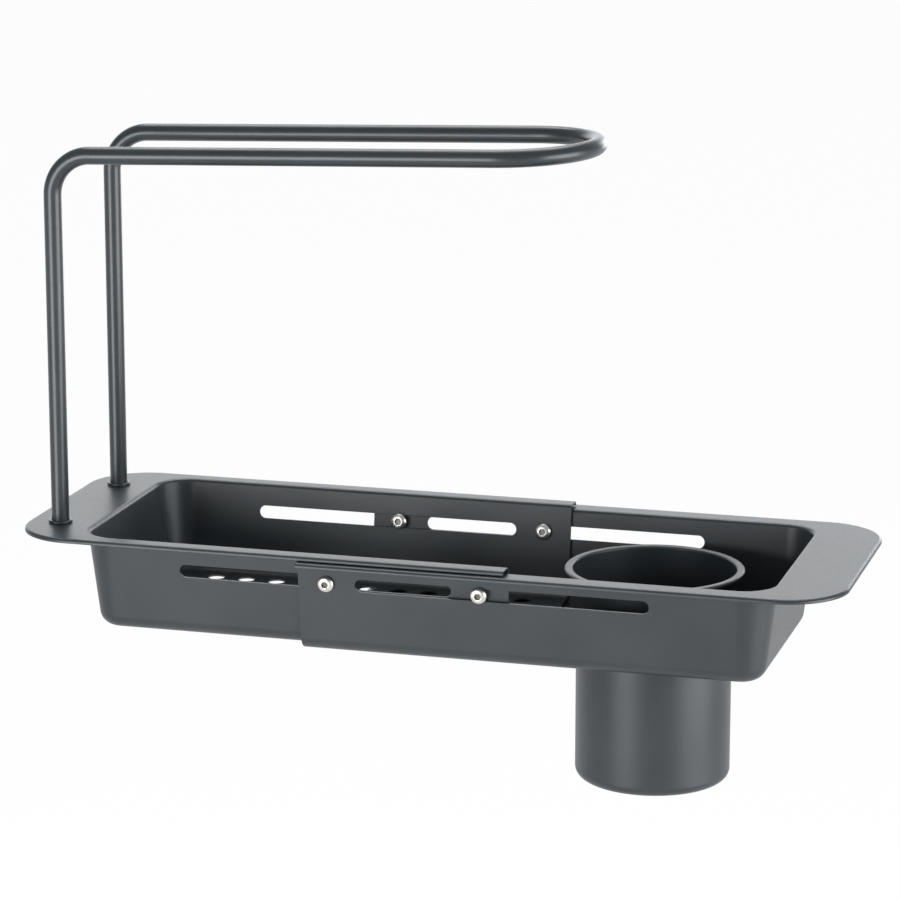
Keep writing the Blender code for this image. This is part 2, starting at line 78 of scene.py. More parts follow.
# Each box's name, azimuth in degrees, lift, width and height in metres, and power in watts.
SOFT_BOXES = [
    ("left_soft_box", -24.0, -0.03, 0.80, 0.77, 15.8),
    ("right_soft_box", 78.0, 0.04, 1.30, 0.92, 25.0),
    ("back_soft_box", 196.0, 0.40, 2.60, 0.80, 12.0),
    ("high_soft_box", 196.0, 2.10, 1.80, 0.95, 35.0),
    ("edge_soft_box", 166.0, 0.20, 0.50, 0.60, 3.0),
    ("top_soft_box", 196.0, 5.00, 4.00, 2.00, 62.0),
]
SOFT_BOX_DISTANCE = 1.5
SOFT_BOX_COLOUR = (0.965, 0.985, 1.0)
SOFT_BOX_CENTRE = Vector((0.17, 0.0, 0.0))

camera = bpy.data.objects.new("camera", bpy.data.cameras.new("camera"))
camera.location = CAMERA_PLACE
camera.rotation_euler = (CAMERA_TILT, 0.0, CAMERA_TURN)
camera.data.sensor_width = SENSOR_WIDTH
camera.data.lens = LENS
bpy.context.scene.collection.objects.link(camera)
bpy.context.scene.camera = camera
bpy.context.scene.view_settings.view_transform = "Standard"

shape = bmesh.new()
bmesh.ops.create_grid(
    shape, x_segments=1, y_segments=1, size=FLOOR_REACH,
    matrix=Matrix.Translation((0.0, 0.0, FLOOR_HEIGHT)),
)
floor_mesh = bpy.data.meshes.new("floor")
shape.to_mesh(floor_mesh)
shape.free()
floor = bpy.data.objects.new("floor", floor_mesh)
bpy.context.scene.collection.objects.link(floor)

floor_material = bpy.data.materials.new("pale_floor")
floor_material.use_nodes = True
nodes = floor_material.node_tree.nodes
links = floor_material.node_tree.links
nodes.clear()
seen = nodes.new("ShaderNodeLightPath")
mirrored = nodes.new("ShaderNodeMath")
mirrored.operation = "MAXIMUM"
links.new(seen.outputs["Is Camera Ray"], mirrored.inputs[0])
links.new(seen.outputs["Is Glossy Ray"], mirrored.inputs[1])
shown = nodes.new("ShaderNodeMath")
shown.operation = "MAXIMUM"
links.new(mirrored.outputs[0], shown.inputs[0])
links.new(seen.outputs["Is Transmission Ray"], shown.inputs[1])
share = nodes.new("ShaderNodeMath")
share.operation = "MULTIPLY"
share.inputs[1].default_value = FLOOR_GLOW_SHARE
links.new(shown.outputs[0], share.inputs[0])
matt = nodes.new("ShaderNodeBsdfDiffuse")
matt.inputs["Color"].default_value = FLOOR_COLOUR
glow = nodes.new("ShaderNodeEmission")
glow.inputs["Color"].default_value = FLOOR_GLOW
glow.inputs["Strength"].default_value = 1.0
mixed = nodes.new("ShaderNodeMixShader")
links.new(share.outputs[0], mixed.inputs["Fac"])
links.new(matt.outputs[0], mixed.inputs[1])
links.new(glow.outputs[0], mixed.inputs[2])
surface = nodes.new("ShaderNodeOutputMaterial")
links.new(mixed.outputs[0], surface.inputs["Surface"])
floor.data.materials.append(floor_material)

sky = bpy.data.worlds.new("sky")
sky.use_nodes = True
sky.node_tree.nodes["Background"].inputs["Color"].default_value = SKY_COLOUR
sky.node_tree.nodes["Background"].inputs["Strength"].default_value = SKY_STRENGTH
bpy.context.scene.world = sky

for name, azimuth, lift, width, height, power in SOFT_BOXES:
    light = bpy.data.lights.new(name, "AREA")
    light.shape = "RECTANGLE"
    light.size = width
    light.size_y = height
    light.energy = power
    light.color = SOFT_BOX_COLOUR
    lamp = bpy.data.objects.new(name, light)
    lamp.visible_camera = False
    turn = math.radians(azimuth)
    reach = Vector((math.sin(turn), -math.cos(turn), 0.0)) * SOFT_BOX_DISTANCE
    lamp.location = SOFT_BOX_CENTRE + reach + Vector((0.0, 0.0, lift))
    aim = SOFT_BOX_CENTRE - lamp.location
    lamp.rotation_euler = aim.to_track_quat("-Z", "Y").to_euler()
    bpy.context.scene.collection.objects.link(lamp)

# Left tray half. One pressed sheet of 1 mm steel, drawn to a round-cornered trough with a flat
# flange and a lip folded down round its edge, open at the right, slotted and drilled for drainage,
# and powder coated in satin anthracite.
COAT_DARK = (0.020, 0.025, 0.029, 1.0)
COAT_LIGHT = (0.025, 0.031, 0.036, 1.0)
SHEET_GLOSS = 0.39
SHEET_SKIN = 0.045
CLOUD_SIZE = 30.0
CLOUD_DETAIL = 3.0
CLOUD_SPREAD = (0.35, 0.65)
PEEL_SIZE = 900.0
PEEL_DETAIL = 2.0
PEEL_SPREAD = (0.3, 0.7)
PEEL_DEPTH = 0.0002
GRAIN_SIZE = 3800.0
GRAIN_DETAIL = 1.0
GRAIN_DEPTH = 0.00005

SHEET = 0.0010
DRAFT = math.radians(7.0)
RIM_BEND = 0.0020
LIP_BEND = 0.0014
LIP_DEPTH = 0.0020
FLOOR_BEND = 0.0070
OPENING_CORNER = 0.0170
FLANGE_CORNER = 0.0285
BEND_REACH = RIM_BEND * math.tan((math.pi / 2 - DRAFT) / 2)
RIM_STEPS = 7
LIP_STEPS = 6
FLOOR_STEPS = 10
CORNER_STEPS = 28
HOLE_STEPS = 40
SLOT_STEPS = 32
NOTHING = 0.000005

SOFT_EDGE = 0.00018
SOFT_STEPS = 2
SOFT_ANGLE = math.radians(50.0)
CREASE_ANGLE = math.radians(32.0)
SHADING_WEIGHT = 100

SLOT_HEIGHT = 0.0060
GUIDE_DEPTH = 0.0132
SLOT_FROM_END = 0.0262
GUIDE_FROM_END = 0.0130
GUIDE_HOLE = 0.0028
DRAIN_RADIUS = 0.0040
DRAIN_PITCH = 0.0150
DRAIN_ROW = 0.0410
WALL_STACK = 0.0028
CUT_OVERRUN = 0.0030

LEFT_RIM_Z = 0.0052
LEFT_DEPTH = 0.0439
LEFT_OPENING_X = 0.0156
LEFT_OPEN_X = 0.2165
LEFT_OPENING_HALF = 0.0585
LEFT_EDGE_X = -0.0152
LEFT_EDGE_HALF = 0.0655
LEFT_SLOT = 0.1261
LEFT_FIRST_DRAIN = 0.1970
LEFT_DRAINS = 11
FOOT_HALF_SPACING = 0.0370
FOOT_HOLE = 0.0020


def new_material(name):
    """A material, its node tree, its shader's inputs and its Object coordinates."""
    material = bpy.data.materials.new(name)
    material.use_nodes = True
    tree = material.node_tree
    place = tree.nodes.new("ShaderNodeTexCoord")
    return material, tree, tree.nodes["Principled BSDF"].inputs, place.outputs["Object"]


def add_noise(tree, place, size, detail):
    """A noise at the given coordinates."""
    noise = tree.nodes.new("ShaderNodeTexNoise")
    noise.inputs["Scale"].default_value = size
    noise.inputs["Detail"].default_value = detail
    tree.links.new(place, noise.inputs["Vector"])
    return noise.outputs["Fac"]


def add_ramp(tree, value, spread, dark, light):
    """A colour that goes from dark to light as the value passes over the spread."""
    ramp = tree.nodes.new("ShaderNodeValToRGB")
    for element, position, colour in zip(ramp.color_ramp.elements, spread, (dark, light)):
        element.position = position
        element.color = colour
    tree.links.new(value, ramp.inputs["Fac"])
    return ramp.outputs["Color"]


def add_range(tree, value, before, after):
    """The value, moved from one range to another."""
    moved = tree.nodes.new("ShaderNodeMapRange")
    for socket, level in zip(("From Min", "From Max", "To Min", "To Max"), before + after):
        moved.inputs[socket].default_value = level
    tree.links.new(value, moved.inputs["Value"])
    return moved.outputs["Result"]


def add_bump(tree, height, strength, depth):
    """A bump node of the height."""
    bump = tree.nodes.new("ShaderNodeBump")
    bump.inputs["Strength"].default_value = strength
    bump.inputs["Distance"].default_value = depth
    tree.links.new(height, bump.inputs["Height"])
    return bump


def coat_material(name, gloss, skin):
    """Satin powder coat: a faint cloudiness, an orange-peel skin and a fine grain."""
    material, tree, shader, place = new_material(name)
    cloud = add_noise(tree, place, CLOUD_SIZE, CLOUD_DETAIL)
    peel = add_noise(tree, place, PEEL_SIZE, PEEL_DETAIL)
    grain = add_noise(tree, place, GRAIN_SIZE, GRAIN_DETAIL)
    colour = add_ramp(tree, cloud, CLOUD_SPREAD, COAT_DARK, COAT_LIGHT)
    tree.links.new(colour, shader["Base Color"])
    rough = add_range(tree, peel, PEEL_SPREAD, (gloss - skin / 2, gloss + skin / 2))
    tree.links.new(rough, shader["Roughness"])
    peel_bump = add_bump(tree, peel, skin, PEEL_DEPTH)
    grain_bump = add_bump(tree, grain, skin, GRAIN_DEPTH)
    tree.links.new(peel_bump.outputs["Normal"], grain_bump.inputs["Normal"])
    tree.links.new(grain_bump.outputs["Normal"], shader["Normal"])
    return material


def drawn(shape, geometry, move):
    """Draw the end of a wire or a strip out along a straight line, and return its new end."""
    swept = bmesh.ops.spin(
        shape, geom=geometry, cent=(0.0, 0.0, 0.0), axis=(0.0, 0.0, 1.0),
        dvec=Vector(move), angle=0.0, steps=1,
    )
    return swept["geom_last"]


def turned(shape, geometry, centre, axis, angle, steps):
    """Turn the end of a wire or a strip about an axis, and return its new end."""
    swept = bmesh.ops.spin(
        shape, geom=geometry, cent=centre, axis=axis, dvec=(0.0, 0.0, 0.0),
        angle=angle, steps=steps,
    )
    return swept["geom_last"]


def end_point(geometry):
    """Where the end of a wire lies."""
    for item in geometry:
        if isinstance(item, bmesh.types.BMVert):
            return item.co.copy()


def sweep_outline(shape, geometry, side, half_width, closed_x, open_x, corner):
    """Take a section along the front, round both corners of the closed end and back."""
    straight = abs(closed_x - open_x) - corner
    centre_x = closed_x - side * corner
    across = (half_width - corner) * 2
    end = drawn(shape, geometry, (side * straight, 0.0, 0.0))
    centre = (centre_x, corner - half_width, 0.0)
    end = turned(shape, end, centre, (0.0, 0.0, 1.0), side * math.pi / 2, CORNER_STEPS)
    end = drawn(shape, end, (0.0, across, 0.0))
    centre = (centre_x, half_width - corner, 0.0)
    end = turned(shape, end, centre, (0.0, 0.0, 1.0), side * math.pi / 2, CORNER_STEPS)
    drawn(shape, end, (-side * straight, 0.0, 0.0))


def chain_at(shape, height):
    """The open edges that lie level at a height."""
    return [
        edge for edge in shape.edges
        if len(edge.link_faces) < 2
        and all(abs(vert.co.z - height) < NOTHING for vert in edge.verts)
    ]


def tray_face(side, opening_x, open_x, opening_half, edge_x, edge_half, depth):
    """The tray's upper face, its rim's top at zero: wall, floor, flange and lip."""
    shape = bmesh.new()
    floor_radius = FLOOR_BEND - SHEET
    floor_reach = floor_radius * math.tan((math.pi / 2 - DRAFT) / 2)
    wall = (depth - SHEET) / math.cos(DRAFT) - BEND_REACH - floor_reach
    upright = math.pi / 2 - DRAFT
    start = Vector((open_x, -opening_half, 0.0))
    section = [shape.verts.new(start)]
    centre = start - Vector((0.0, 0.0, RIM_BEND))
    end = turned(shape, section, centre, (1.0, 0.0, 0.0), -upright, RIM_STEPS)
    down = Vector((0.0, math.sin(DRAFT), -math.cos(DRAFT)))
    end = drawn(shape, end, down * wall)
    inward = Vector((0.0, math.cos(DRAFT), math.sin(DRAFT)))
    centre = end_point(end) + inward * floor_radius
    end = turned(shape, end, centre, (1.0, 0.0, 0.0), upright, FLOOR_STEPS)
    bottom = end_point(end).z
    section = list(shape.verts) + list(shape.edges)
    wall_x = opening_x - side * BEND_REACH
    wall_half = opening_half - BEND_REACH
    wall_corner = OPENING_CORNER - BEND_REACH
    sweep_outline(shape, section, side, wall_half, wall_x, open_x, wall_corner)
    rim = chain_at(shape, 0.0)

    before = set(shape.verts) | set(shape.edges)
    start = Vector((open_x, -edge_half, -LIP_DEPTH))
    end = drawn(shape, [shape.verts.new(start)], (0.0, 0.0, LIP_DEPTH - LIP_BEND))
    centre = end_point(end) + Vector((0.0, LIP_BEND, 0.0))
    turned(shape, end, centre, (1.0, 0.0, 0.0), -math.pi / 2, LIP_STEPS)
    section = [item for item in list(shape.verts) + list(shape.edges) if item not in before]
    sweep_outline(shape, section, side, edge_half, edge_x, open_x, FLANGE_CORNER)
    lip = [edge for edge in chain_at(shape, 0.0) if edge not in before]
    bmesh.ops.bridge_loops(shape, edges=rim + lip)

    floor_chain = chain_at(shape, bottom)
    ends = [
        vert for vert in {v for edge in floor_chain for v in edge.verts}
        if sum(edge in floor_chain for edge in vert.link_edges) == 1
    ]
    closing = shape.edges.new(ends)
    bmesh.ops.contextual_create(shape, geom=floor_chain + [closing])
    bmesh.ops.remove_doubles(shape, verts=shape.verts, dist=NOTHING)
    bmesh.ops.recalc_face_normals(shape, faces=shape.faces)
    level = max(shape.faces, key=lambda face: face.calc_area())
    if level.normal.z < 0.0:
        bmesh.ops.reverse_faces(shape, faces=shape.faces)
    return shape


def guide_frame(x, side, rim_z):
    """Where a slot or a guide crosses the side walls, its z pointing out through them."""
    wall_y = LEFT_OPENING_HALF - BEND_REACH - GUIDE_DEPTH * math.tan(DRAFT)
    place = Matrix.Translation((x, side * wall_y, LEFT_RIM_Z - GUIDE_DEPTH - rim_z))
    return place @ Matrix.Rotation(-side * (math.pi / 2 + DRAFT), 4, "X")


def add_punch(
    shape, radius, frame, steps, low=-CUT_OVERRUN, high=CUT_OVERRUN + WALL_STACK, stretch=0.0,
):
    """Add a round punch along the frame's z, drawn out along x by stretch."""
    middle = Matrix.Translation((0.0, 0.0, (high + low) / 2))
    made = bmesh.ops.create_cone(
        shape, cap_ends=True, segments=steps, radius1=radius, radius2=radius, depth=high - low,
        matrix=middle @ Matrix.Rotation(math.pi / steps, 4, "Z"),
    )
    for vert in made["verts"]:
        vert.co.x += math.copysign(stretch / 2, vert.co.x)
    bmesh.ops.transform(shape, matrix=frame, verts=made["verts"])


def add_side_punches(shape, side, open_x, slot, rim_z):
    """Add the slot and the guide hole of both side walls."""
    for wall in (-1, 1):
        slot_frame = guide_frame(open_x + side * (SLOT_FROM_END + slot / 2), wall, rim_z)
        add_punch(
            shape, SLOT_HEIGHT / 2, slot_frame, SLOT_STEPS, stretch=slot - SLOT_HEIGHT,
        )
        hole_frame = guide_frame(open_x + side * GUIDE_FROM_END, wall, rim_z)
        add_punch(shape, GUIDE_HOLE, hole_frame, SLOT_STEPS)


def add_drains(shape, first_x, step, columns, level):
    """Add three rows of drain holes, the middle one half a pitch along."""
    for column in range(columns):
        x = first_x + column * step
        for y in (-DRAIN_ROW, DRAIN_ROW):
            add_punch(shape, DRAIN_RADIUS, Matrix.Translation((x, y, level)), HOLE_STEPS)
        if column < columns - 1:
            middle = Matrix.Translation((x + step / 2, 0.0, level))
            add_punch(shape, DRAIN_RADIUS, middle, HOLE_STEPS)


def new_piece(name, shape):
    """An object of the bmesh, at the origin."""
    mesh = bpy.data.meshes.new(name)
    shape.to_mesh(mesh)
    shape.free()
    piece = bpy.data.objects.new(name, mesh)
    bpy.context.scene.collection.objects.link(piece)
    return piece


def thicken(piece, thickness):
    """Give the piece's face a sheet's thickness, under and outside it."""
    sheet = piece.modifiers.new("sheet", "SOLIDIFY")
    sheet.thickness = thickness
    sheet.offset = -1.0
    sheet.use_even_offset = True
    sheet.use_quality_normals = True


def punch_out(piece, punch):
    """Cut the punch out of the piece."""
    cut = piece.modifiers.new("punched", "BOOLEAN")
    cut.operation = "DIFFERENCE"
    cut.solver = "EXACT"
    cut.object = punch


def soften(piece, width):
    """Round the piece's sharp edges a little."""
    edge = piece.modifiers.new("soft_edge", "BEVEL")
    edge.width = width
    edge.segments = SOFT_STEPS
    edge.limit_method = "ANGLE"
    edge.angle_limit = SOFT_ANGLE
    edge.use_clamp_overlap = False
    edge.miter_outer = "MITER_ARC"


def bake(piece):
    """Put the piece's modifiers into its mesh, and return that."""
    bpy.context.view_layer.update()
    shown = piece.evaluated_get(bpy.context.evaluated_depsgraph_get())
    mesh = bpy.data.meshes.new_from_object(shown)
    mesh.name = piece.name
    piece.modifiers.clear()
    piece.data = mesh
    return mesh


def finished(piece, material, body, stands_for):
    """Bake the piece's modifiers, shade it, coat it and hand it to its body."""
    mesh = bake(piece)
    mesh.shade_smooth()
    mesh.set_sharp_from_angle(angle=CREASE_ANGLE)
    even = piece.modifiers.new("even_shading", "WEIGHTED_NORMAL")
    even.weight = SHADING_WEIGHT
    even.keep_sharp = True
    mesh.materials.clear()
    mesh.materials.append(material)
    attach(piece, body)
    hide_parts(stands_for)


def pressed_tray(name, face, punches, rim_z, material, body, stands_for):
    """Thicken the face to sheet, punch its cut-outs and finish it."""
    for part in (face, punches):
        bmesh.ops.translate(part, verts=part.verts, vec=(0.0, 0.0, rim_z))
    piece = new_piece(name, face)
    punch = new_piece(name + "_punches", punches)
    thicken(piece, SHEET)
    punch_out(piece, punch)
    soften(piece, SOFT_EDGE)
    finished(piece, material, body, stands_for)
    bpy.data.objects.remove(punch)


sheet_coat = coat_material("satin_sheet_coat", SHEET_GLOSS, SHEET_SKIN)
face = tray_face(
    -1, LEFT_OPENING_X, LEFT_OPEN_X, LEFT_OPENING_HALF, LEFT_EDGE_X, LEFT_EDGE_HALF, LEFT_DEPTH,
)
punches = bmesh.new()
add_side_punches(punches, -1, LEFT_OPEN_X, LEFT_SLOT, LEFT_RIM_Z)
add_drains(punches, LEFT_FIRST_DRAIN, -DRAIN_PITCH, LEFT_DRAINS, -LEFT_DEPTH)
for y in (-FOOT_HALF_SPACING, FOOT_HALF_SPACING):
    add_punch(punches, FOOT_HOLE, Matrix.Translation((0.0, y, -SHEET)), SLOT_STEPS)
pressed_tray(
    "left_half_sheet", face, punches, LEFT_RIM_Z, sheet_coat, "fixed_half", "left_tray",
)

# Right tray half. The same pressed and coated sheet, a little larger, so that it takes the left
# half inside it. Its floor has a large round hole that the cup stands in.
RIGHT_RIM_Z = 0.0028
RIGHT_OPEN_X = 0.1205
RIGHT_OPENING_X = 0.3342
RIGHT_OPENING_HALF = 0.06002
RIGHT_EDGE_X = 0.3638
RIGHT_EDGE_HALF = 0.0690
RIGHT_RIM_SETBACK = 0.0018
RIGHT_DEPTH = 0.0437
RIGHT_SLOT = 0.1328
RIGHT_FIRST_DRAIN = 0.1305
RIGHT_DRAINS = 7
CUP_X = 0.2690
CUP_HOLE = 0.0354
CUP_HOLE_STEPS = 96

face = tray_face(
    1, RIGHT_OPENING_X, RIGHT_OPEN_X, RIGHT_OPENING_HALF, RIGHT_EDGE_X, RIGHT_EDGE_HALF,
    RIGHT_DEPTH,
)
bend_drop = RIM_BEND * (1.0 - math.sin(DRAFT))
for vert in face.verts:
    if abs(vert.co.x - RIGHT_OPEN_X) < NOTHING:
        fall = 0.0 if abs(vert.co.y) > RIGHT_OPENING_HALF else -vert.co.z / bend_drop
        vert.co.x += RIGHT_RIM_SETBACK * max(0.0, 1.0 - fall)
punches = bmesh.new()
add_side_punches(punches, 1, RIGHT_OPEN_X, RIGHT_SLOT, RIGHT_RIM_Z)
add_drains(punches, RIGHT_FIRST_DRAIN, DRAIN_PITCH, RIGHT_DRAINS, -RIGHT_DEPTH)
add_punch(punches, CUP_HOLE, Matrix.Translation((CUP_X, 0.0, -RIGHT_DEPTH)), CUP_HOLE_STEPS)
pressed_tray(
    "right_half_sheet", face, punches, RIGHT_RIM_Z, sheet_coat, "sliding_half", "right_tray",
)

# Cup. Deep drawn from 0.8 mm steel, with a flat rim whose lip is folded down and a shoulder that
# stands on the floor round its hole. It has the trays' coat and lifts out.
CUP_SHEET = 0.0008
CUP_RIM_RADIUS = 0.0404
CUP_UPPER_RADIUS = 0.0373
CUP_LOWER_RADIUS = 0.0349
CUP_RIM_Z = -0.0058
CUP_SHOULDER_Z = -0.0388
CUP_BOTTOM_Z = -0.1027
CUP_LIP = 0.0015
CUP_LIP_BEND = 0.0011
CUP_BEND = 0.0012
CUP_BASE_BEND = 0.0045
CUP_STEPS = 128
CUP_BEND_STEPS = 6
CUP_BASE_STEPS = 8


def revolve(shape, steps):
    """Turn the shape's wire once about z and close its seam."""
    bmesh.ops.spin(
        shape, geom=list(shape.verts) + list(shape.edges), cent=(0.0, 0.0, 0.0),
        axis=(0.0, 0.0, 1.0), dvec=(0.0, 0.0, 0.0), angle=math.tau, steps=steps, use_merge=True,
    )
    bmesh.ops.remove_doubles(shape, verts=shape.verts, dist=NOTHING)
    bmesh.ops.recalc_face_normals(shape, faces=shape.faces)


def bent(shape, end, move, angle, steps):
    """Turn the end of an upright section about a point that lies off it by the move."""
    return turned(shape, end, end_point(end) + Vector(move), (0.0, 1.0, 0.0), angle, steps)


inner_low = CUP_LOWER_RADIUS - CUP_SHEET
inner_high = CUP_UPPER_RADIUS - CUP_SHEET
base_bend = CUP_BASE_BEND - CUP_SHEET
shoulder_bend = CUP_BEND - CUP_SHEET
quarter = math.pi / 2
shape = bmesh.new()
end = [shape.verts.new((0.0, 0.0, CUP_BOTTOM_Z + CUP_SHEET))]
end = drawn(shape, end, (inner_low - base_bend, 0.0, 0.0))
end = bent(shape, end, (0.0, 0.0, base_bend), -quarter, CUP_BASE_STEPS)
end = drawn(shape, end, (0.0, 0.0, CUP_SHOULDER_Z - CUP_BEND - end_point(end).z))
end = bent(shape, end, (CUP_BEND, 0.0, 0.0), quarter, CUP_BEND_STEPS)
end = drawn(shape, end, (inner_high - shoulder_bend - end_point(end).x, 0.0, 0.0))
end = bent(shape, end, (0.0, 0.0, shoulder_bend), -quarter, CUP_BEND_STEPS)
end = drawn(shape, end, (0.0, 0.0, CUP_RIM_Z - CUP_BEND - end_point(end).z))
end = bent(shape, end, (CUP_BEND, 0.0, 0.0), quarter, CUP_BEND_STEPS)
end = drawn(shape, end, (CUP_RIM_RADIUS - CUP_LIP_BEND - end_point(end).x, 0.0, 0.0))
end = bent(shape, end, (0.0, 0.0, -CUP_LIP_BEND), quarter, CUP_BEND_STEPS)
drawn(shape, end, (0.0, 0.0, CUP_LIP_BEND - CUP_LIP))
revolve(shape, CUP_STEPS)
lowest = min(shape.faces, key=lambda face: face.calc_center_median().z)
if lowest.normal.z < 0.0:
    bmesh.ops.reverse_faces(shape, faces=shape.faces)
bmesh.ops.translate(shape, verts=shape.verts, vec=(CUP_X, 0.0, 0.0))
cup = new_piece("utensil_cup", shape)
thicken(cup, CUP_SHEET)
soften(cup, SOFT_EDGE)
finished(cup, sheet_coat, "lift_out_cup", "cup")

# Towel bar. One 8 mm steel tube with a 0.8 mm wall, bent up from two feet on the left flange into
# a long loop that rises a little to its end, and coated like the trays but glossier.
TUBE_GLOSS = 0.31
TUBE_SKIN = 0.008
TUBE_RADIUS = 0.0040
TUBE_WALL = 0.0008
TUBE_FOOT_Z = 0.0055
TUBE_BEND = 0.0185
TUBE_HEIGHT = 0.1685
TUBE_REACH = 0.2402
TUBE_RAKE = math.radians(2.0)
TUBE_STEPS = 40
TUBE_BEND_STEPS = 24
TUBE_END_STEPS = 48

tube_coat = coat_material("satin_tube_coat", TUBE_GLOSS, TUBE_SKIN)
along = Vector((math.cos(TUBE_RAKE), 0.0, math.sin(TUBE_RAKE)))
above = Vector((-math.sin(TUBE_RAKE), 0.0, math.cos(TUBE_RAKE)))
bend_run = TUBE_BEND * math.tan((quarter - TUBE_RAKE) / 2)
loop_x = TUBE_REACH - FOOT_HALF_SPACING * math.cos(TUBE_RAKE)
arm = loop_x / math.cos(TUBE_RAKE) - bend_run
rise = TUBE_HEIGHT - bend_run + LEFT_RIM_Z - TUBE_FOOT_Z
shape = bmesh.new()
ring = bmesh.ops.create_circle(
    shape, cap_ends=False, segments=TUBE_STEPS, radius=TUBE_RADIUS,
    matrix=Matrix.Translation((0.0, -FOOT_HALF_SPACING, TUBE_FOOT_Z)),
)
end = list(ring["verts"]) + list(shape.edges)
end = drawn(shape, end, (0.0, 0.0, rise))
centre = Vector((TUBE_BEND, -FOOT_HALF_SPACING, TUBE_FOOT_Z + rise))
end = turned(shape, end, centre, (0.0, 1.0, 0.0), quarter - TUBE_RAKE, TUBE_BEND_STEPS)
end = drawn(shape, end, along * arm)
loop_centre = Vector((loop_x, 0.0, LEFT_RIM_Z + TUBE_HEIGHT + loop_x * math.tan(TUBE_RAKE)))
end = turned(shape, end, loop_centre, above, math.pi, TUBE_END_STEPS)
end = drawn(shape, end, along * -arm)
centre.y = FOOT_HALF_SPACING
end = turned(shape, end, centre, (0.0, 1.0, 0.0), TUBE_RAKE - quarter, TUBE_BEND_STEPS)
drawn(shape, end, (0.0, 0.0, -rise))
bmesh.ops.recalc_face_normals(shape, faces=shape.faces)
outermost = max(shape.faces, key=lambda face: face.calc_center_median().x)
if outermost.normal.x < 0.0:
    bmesh.ops.reverse_faces(shape, faces=shape.faces)
bar = new_piece("towel_bar_tube", shape)
wall = bar.modifiers.new("wall", "SOLIDIFY")
wall.thickness = TUBE_WALL
wall.offset = -1.0
finished(bar, tube_coat, "fixed_half", "towel_bar")

# Collars. Turned steel rings, coated like the tube, slid over each foot of the bar where it meets
# the flange.
COLLAR_BORE = 0.0043
COLLAR_RADIUS = 0.00545
COLLAR_HEIGHT = 0.0011
COLLAR_EDGE = 0.0004
RING_EDGE_STEPS = 5
ROUND_STEPS = 48


def turned_ring(bore, radius, height, edge, frame):
    """A ring with its upper outer edge rounded, its lower face on the frame."""
    shape = bmesh.new()
    end = [shape.verts.new((bore, 0.0, 0.0))]
    end = drawn(shape, end, (radius - bore, 0.0, 0.0))
    end = drawn(shape, end, (0.0, 0.0, height - edge))
    end = bent(shape, end, (-edge, 0.0, 0.0), -quarter, RING_EDGE_STEPS)
    end = drawn(shape, end, (bore - end_point(end).x, 0.0, 0.0))
    drawn(shape, end, (0.0, 0.0, -height))
    bmesh.ops.remove_doubles(shape, verts=shape.verts, dist=NOTHING)
    revolve(shape, ROUND_STEPS)
    bmesh.ops.transform(shape, matrix=frame, verts=shape.verts)
    return shape


feet = ((-FOOT_HALF_SPACING, "front"), (FOOT_HALF_SPACING, "back"))
for y, end_name in feet:
    seat = Matrix.Translation((0.0, y, TUBE_FOOT_Z))
    ring = turned_ring(COLLAR_BORE, COLLAR_RADIUS, COLLAR_HEIGHT, COLLAR_EDGE, seat)
    collar = new_piece("foot_collar_" + end_name, ring)
    finished(collar, tube_coat, "fixed_half", "bar_collar_" + end_name)

# Foot inserts. Steel plugs pressed into the tube's ends and tapped for the screws. They lie inside
# the tube, so the frame's own solids stay, in plain turned steel.
STEEL_DARK = (0.55, 0.525, 0.50, 1.0)
STEEL_LIGHT = (0.74, 0.71, 0.67, 1.0)
# Painted shade: the dark colour given to the inside of a screw's socket.
STEEL_PAINTED_SHADE = (0.030, 0.028, 0.026, 1.0)
STAIN_SIZE = 600.0
STAIN_DETAIL = 3.0
STAIN_SPREAD = (0.3, 0.6)
WHOLE_SPREAD = (0.0, 1.0)
ROUGH_BELOW = 0.05
ROUGH_ABOVE = 0.07
MARK_WANDER = 1.0
MARK_STRENGTH = 0.06
MARK_DEPTH = 0.00003
TURNED_GLOSS = 0.24
TURNED_MARKS = 2200.0


def steel_material(name, gloss, mark_size, mark_axis):
    """Bright stainless steel with faint turning marks, with shade painted into a screw's socket."""
    material, tree, shader, place = new_material(name)
    shader["Metallic"].default_value = 1.0
    stain = add_noise(tree, place, STAIN_SIZE, STAIN_DETAIL)
    # Faces marked by the socket attribute get a painted shade mixed into the steel's colour.
    painted_shade = tree.nodes.new("ShaderNodeAttribute")
    painted_shade.attribute_name = "painted_shade"
    sunk = tree.nodes.new("ShaderNodeMixRGB")
    sunk.inputs["Color2"].default_value = STEEL_PAINTED_SHADE
    tree.links.new(painted_shade.outputs["Fac"], sunk.inputs["Fac"])
    colour = add_ramp(tree, stain, STAIN_SPREAD, STEEL_DARK, STEEL_LIGHT)
    tree.links.new(colour, sunk.inputs["Color1"])
    tree.links.new(sunk.outputs["Color"], shader["Base Color"])
    rough = add_range(tree, stain, WHOLE_SPREAD, (gloss - ROUGH_BELOW, gloss + ROUGH_ABOVE))
    tree.links.new(rough, shader["Roughness"])
    marks = tree.nodes.new("ShaderNodeTexWave")
    marks.wave_type = "BANDS"
    marks.bands_direction = mark_axis
    marks.inputs["Scale"].default_value = mark_size
    marks.inputs["Distortion"].default_value = MARK_WANDER
    tree.links.new(place, marks.inputs["Vector"])
    bump = add_bump(tree, marks.outputs["Fac"], MARK_STRENGTH, MARK_DEPTH)
    tree.links.new(bump.outputs["Normal"], shader["Normal"])
    return material


turned_steel = steel_material("turned_steel", TURNED_GLOSS, TURNED_MARKS, "Z")
for y, end_name in feet:
    insert = frame["nodes"]["bar_insert_" + end_name]
    insert.data.materials.clear()
    insert.data.materials.append(turned_steel)

